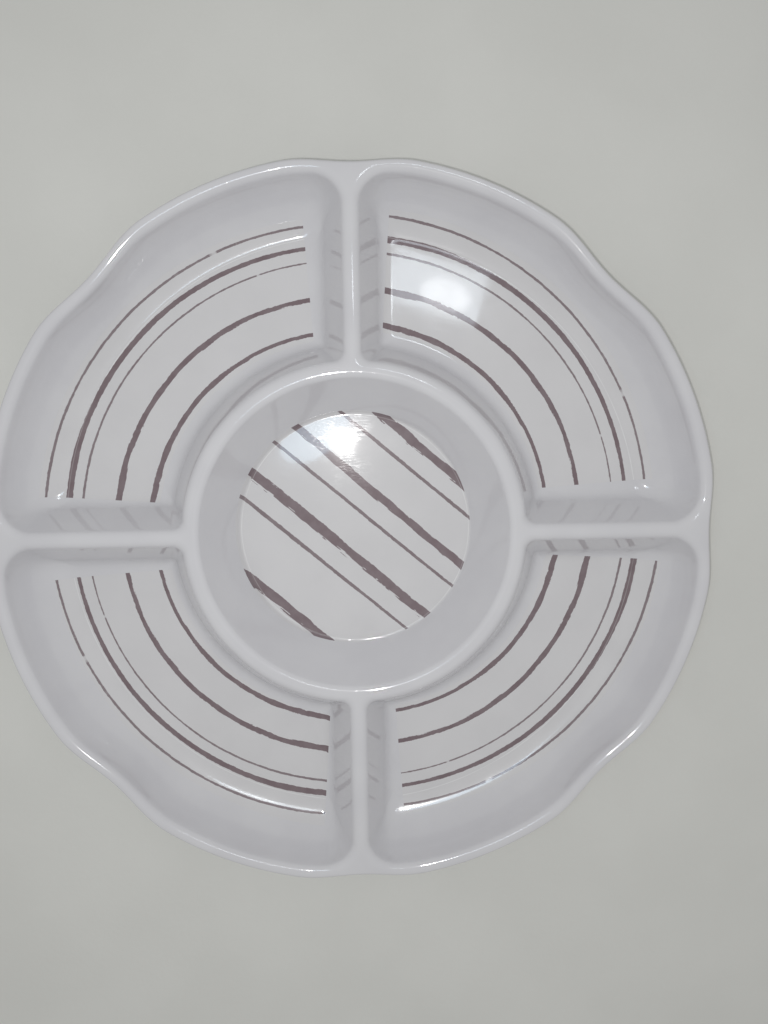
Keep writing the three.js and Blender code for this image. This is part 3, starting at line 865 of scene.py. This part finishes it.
def build_plate():
    """The moulding and its five printed foils."""
    worn_gloss = worn_gloss_group()
    print_groups = (worn_gloss, brush_stripe_group(), painted_crease_highlight_group())
    body = grown("moulded_body", body_quarter(), quarters_tree(), {
        "Copies": COMPARTMENTS, "Weld Distance": WELD, "Finish": melamine_material(worn_gloss),
    })
    face_outwards(body)
    arc_print = print_material(
        "printed_arcs", print_groups, ARC_STRIPES, ARC_PRINT_LENGTH, slanted=False, crease=FLOOR_OUTER,
    )
    disc_print = print_material(
        "printed_lines", print_groups, DISC_STRIPES, DISC_PRINT_LENGTH, slanted=True, crease=BOWL_FLOOR,
    )
    laying = foil_tree()
    common = {
        "Moulding": body, "Sink": FOIL_SINK, "Lift": FOIL_LIFT, "Edge Angle": FOIL_EDGE_ANGLE,
        "Weld Distance": WELD,
    }
    for number in range(COMPARTMENTS):
        name = f"outer_print_{number + 1}"
        foil = grown(name, outer_sheet(name, ARC_PRINT_SHIFTS[number]), laying, {
            **common, "Turn": number * QUARTER_TURN, "Finish": arc_print,
        })
        place_piece(foil, [f"outer_foil_{number + 1}"])
    disc = grown("centre_print", centre_sheet("centre_print"), laying, {
        **common, "Turn": 0.0, "Finish": disc_print,
    })
    place_piece(disc, ["centre_foil"])
    place_piece(body, ["plate_body"])


def build_floor():
    """A plain pale table top, faintly uneven like a painted surface."""
    half = TABLE_SIZE / 2
    mesh = bpy.data.meshes.new("floor")
    corners = [(-half, -half), (half, -half), (half, half), (-half, half)]
    mesh.from_pydata([(x, y, -TABLE_GAP) for x, y in corners], [], [(0, 1, 2, 3)])
    floor = bpy.data.objects.new("floor", mesh)
    bpy.context.collection.objects.link(floor)
    material, tree, shader = new_material("painted_floor")
    place = add_node(tree, "ShaderNodeTexCoord").outputs["Object"]
    colour = mix_colour(tree, cloud(tree, place, 3.0, TABLE_CLOUD_PITCH), *TABLE_TINTS)
    tree.links.new(colour, shader.inputs["Base Color"])
    shader.inputs["Roughness"].default_value = TABLE_ROUGHNESS
    bump = add_node(tree, "ShaderNodeBump", {
        "Strength": TABLE_GRAIN_STRENGTH, "Distance": TABLE_GRAIN_DISTANCE,
        "Height": noise_at(tree, place, 3.0, TABLE_GRAIN_PITCH),
    })
    tree.links.new(bump.outputs[0], shader.inputs["Normal"])
    mesh.materials.append(material)


def build_lamp(name, shape, size, power, colour, place, turn=0.0):
    """A flat lamp of a given length and width, which shines straight down."""
    data = bpy.data.lights.new(name, "AREA")
    data.shape = shape
    data.size, data.size_y = size
    data.energy = power
    data.color = colour
    lamp = bpy.data.objects.new(name, data)
    lamp.location = place
    lamp.rotation_euler = (0.0, 0.0, turn)
    lamp.visible_camera = False
    bpy.context.collection.objects.link(lamp)


def build_nested_lamps(name, lamps, colour, place, turn):
    """Ellipses inside each other, so that their reflection fades towards its edge."""
    for number, (size, power) in enumerate(lamps):
        build_lamp(f"{name}_{number + 1}", "ELLIPSE", size, power, colour, place, turn)


def build_lights():
    """A small lamp with a cool glow beside the camera, and a softbox with a brighter core."""
    build_lamp(
        "camera_lamp", "ELLIPSE", CAMERA_LAMP_SIZE, CAMERA_LAMP_POWER, CAMERA_LAMP_COLOUR, CAMERA_LAMP_PLACE,
    )
    build_nested_lamps("camera_glow", GLOWS, GLOW_COLOUR, GLOW_PLACE, GLOW_TURN)
    build_lamp(
        "softbox", "RECTANGLE", SOFTBOX_SIZE, SOFTBOX_POWER, SOFTBOX_COLOUR, SOFTBOX_PLACE, SOFTBOX_TURN,
    )
    build_nested_lamps(
        "softbox_core", SOFTBOX_CORES, SOFTBOX_CORE_COLOUR, SOFTBOX_CORE_PLACE, SOFTBOX_TURN,
    )


def build_world():
    """Soft light from all round, with a backdrop of its own for what is seen and reflected."""
    world = bpy.data.worlds.new("studio")
    world.use_nodes = True
    tree = world.node_tree
    tree.nodes.clear()
    light = add_node(tree, "ShaderNodeBackground", {"Color": WORLD_COLOUR, "Strength": WORLD_STRENGTH})
    backdrop = add_node(tree, "ShaderNodeBackground", {
        "Color": BACKDROP_COLOUR, "Strength": BACKDROP_STRENGTH,
    })
    path = add_node(tree, "ShaderNodeLightPath")
    seen = path.outputs["Is Camera Ray"]
    for kind in ("Is Glossy Ray", "Is Transmission Ray"):
        seen = math_node(tree, "MAXIMUM", seen, path.outputs[kind])
    mix = add_node(tree, "ShaderNodeMixShader", {0: seen, 1: light.outputs[0], 2: backdrop.outputs[0]})
    output = tree.nodes.new("ShaderNodeOutputWorld")
    tree.links.new(mix.outputs[0], output.inputs["Surface"])
    bpy.context.scene.world = world


def build_camera():
    """A camera in the place that was fitted to the photograph."""
    data = bpy.data.cameras.new("camera")
    data.lens = CAMERA_LENS
    data.clip_start = CAMERA_NEAR
    camera = bpy.data.objects.new("camera", data)
    camera.location = CAMERA_PLACE
    camera.rotation_euler = [math.radians(angle) for angle in CAMERA_TURN]
    bpy.context.collection.objects.link(camera)
    bpy.context.scene.camera = camera


build_camera()
build_plate()
build_floor()
build_lights()
build_world()
bpy.context.scene.view_settings.view_transform = "Standard"
